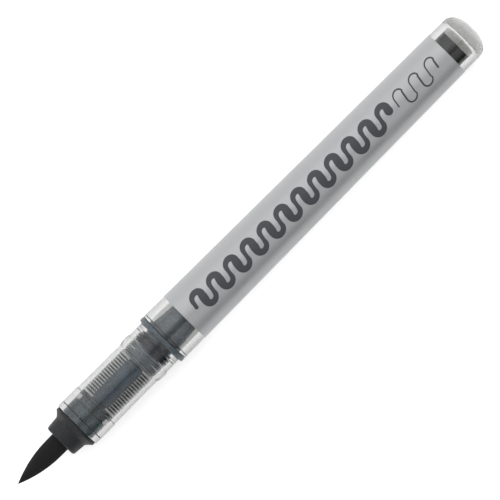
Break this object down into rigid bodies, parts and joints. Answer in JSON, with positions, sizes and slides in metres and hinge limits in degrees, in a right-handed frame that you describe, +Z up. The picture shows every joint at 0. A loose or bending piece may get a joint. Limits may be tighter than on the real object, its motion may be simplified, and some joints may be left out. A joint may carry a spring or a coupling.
{
  "type": "calligraphy marker",
  "caption": "Free-ink calligraphy marker with a filament brush point, a clear front section over a finned ink collector, and a labelled clear ink barrel.",
  "frame": {"origin": "middle of the marker's length, on the surface it lies on, straight below its axis", "axes": "+X along the marker from the brush point to the closed end of the barrel, +Z up, +Y across"},
  "size_m": [0.14, 0.0128, 0.0128],
  "materials": {
    "brush": "ink-soaked nylon filaments, satin",
    "ferrule": "moulded",
    "holder": "fine matt",
    "clear_plastic": "clear, polished",
    "tinted_plastic": "translucent blue-grey",
    "comb": "ink-stained translucent",
    "fine_comb": "translucent grey",
    "dark_plastic": "moulded, semi-gloss",
    "seal": "matt",
    "wick": "bonded fibre",
    "plug": "translucent grey",
    "label": "metallised silver film, satin",
    "ink": "wet black"
  },
  "bodies": {
    "barrel": {"barrel": "clear_plastic", "barrel_label": "label", "ink": "ink"},
    "section": {"section_tube": "clear_plastic", "nose_ring": "clear_plastic", "nib_holder": "holder", "brush_root": "brush", "brush_ferrule": "ferrule", "feed_head": "tinted_plastic", "feed_washer": "clear_plastic", "collector": "comb", "fine_comb": "fine_comb", "collector_base": "dark_plastic", "section_seals": "seal", "feed_wick": "wick", "collar": "clear_plastic", "tank_plug": "plug", "tank_seal": "seal"},
    "brush_tip": {"brush_tuft": "brush"}
  },
  "joints": [
    {"name": "section_pull", "type": "slide", "parent": "barrel", "child": "section", "axis": [-1, 0, 0], "range_m": [0, 0.02]},
    {"name": "brush_bend", "type": "hinge", "parent": "section", "child": "brush_tip", "pos_m": [-0.05921, 0, 0.0064], "axis": [0, 0, 1], "range_deg": [-35, 35], "stiffness_Nm_per_rad": 0.005}
  ]
}
